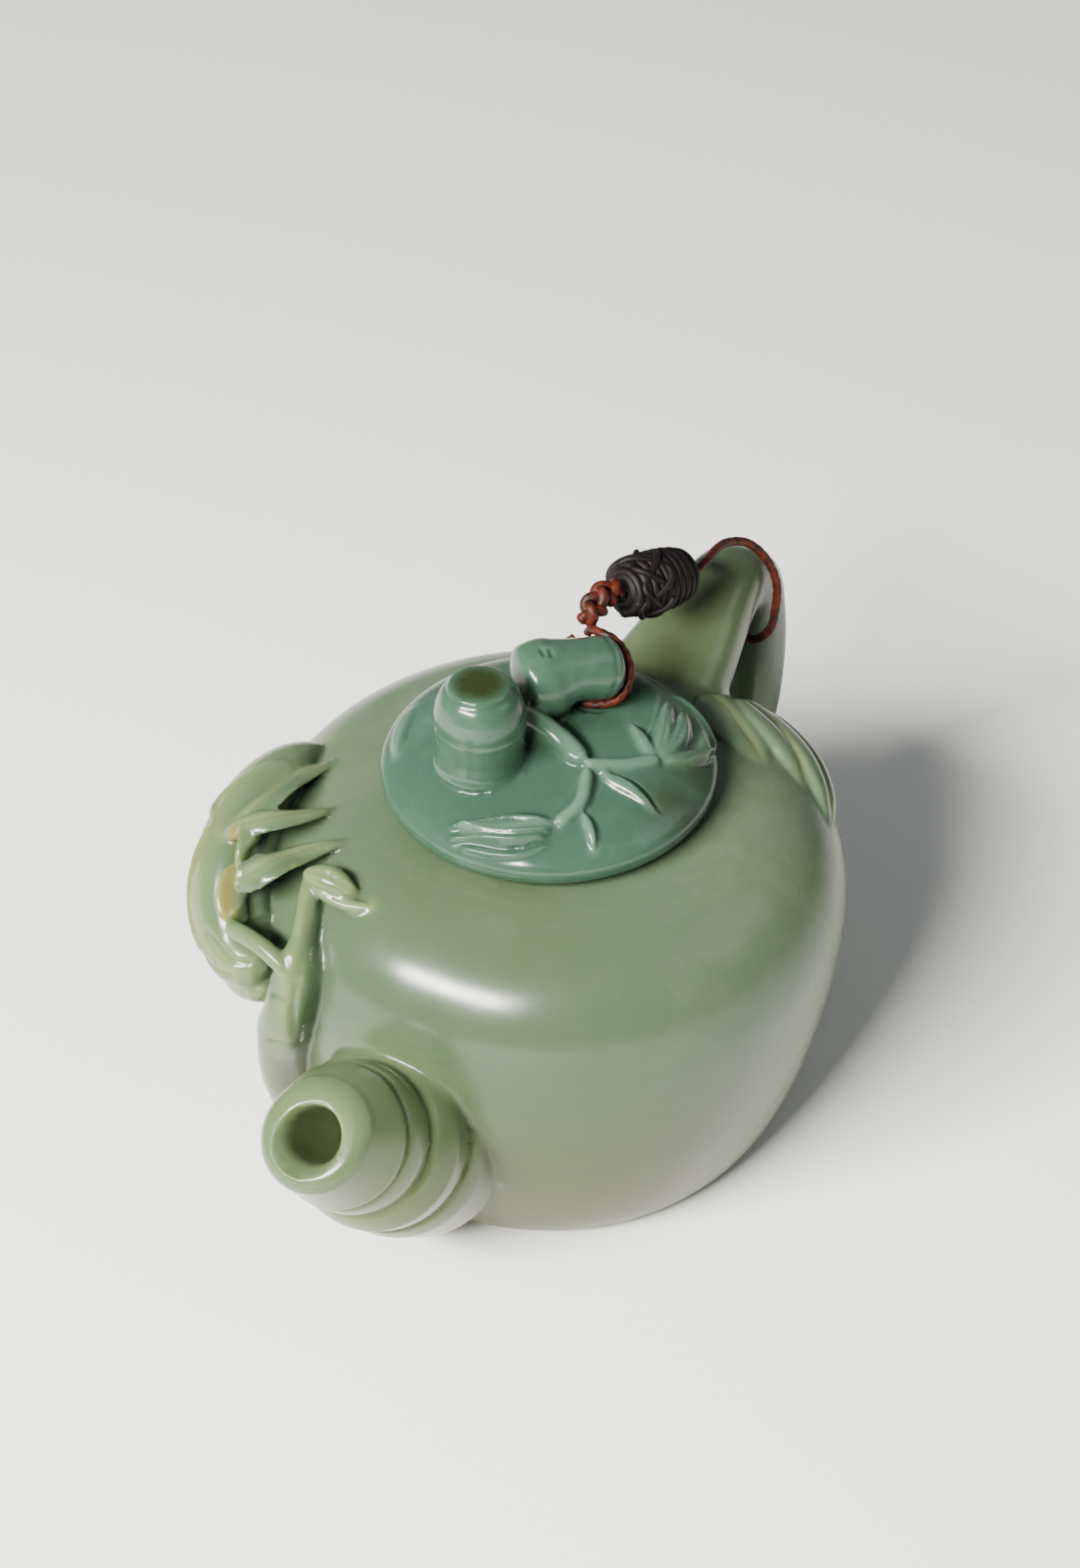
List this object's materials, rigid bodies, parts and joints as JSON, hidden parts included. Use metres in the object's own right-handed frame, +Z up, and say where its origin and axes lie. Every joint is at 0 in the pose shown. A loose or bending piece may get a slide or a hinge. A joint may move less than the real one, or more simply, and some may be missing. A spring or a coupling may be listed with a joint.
{
  "type": "jade teapot",
  "caption": "Small lidded teapot carved from jade, with a bamboo spout, leafy branch, ear-shaped handle and a braided cord from lid knob to handle.",
  "frame": {"origin": "middle of the flat foot, on the surface that the teapot stands on", "axes": "+Z up through the lid, +X towards the handle, -X towards the spout"},
  "size_m": [0.0899, 0.0566, 0.0531],
  "materials": {
    "pot_jade": "polished pale grey-green jade, waxy and slightly translucent, with olive and amber clouds",
    "lid_jade": "polished deeper blue-green jade, waxy and slightly translucent",
    "cord_thread": "reddish-brown braided cord",
    "bead_thread": "dark brown thread wound tight"
  },
  "bodies": {
    "root": {"pot": "pot_jade", "lid": "lid_jade", "tether_knob_loop": "cord_thread", "tether_plait": "cord_thread", "tether_bead": "bead_thread", "tether_handle_loop": "cord_thread"}
  },
  "joints": []
}
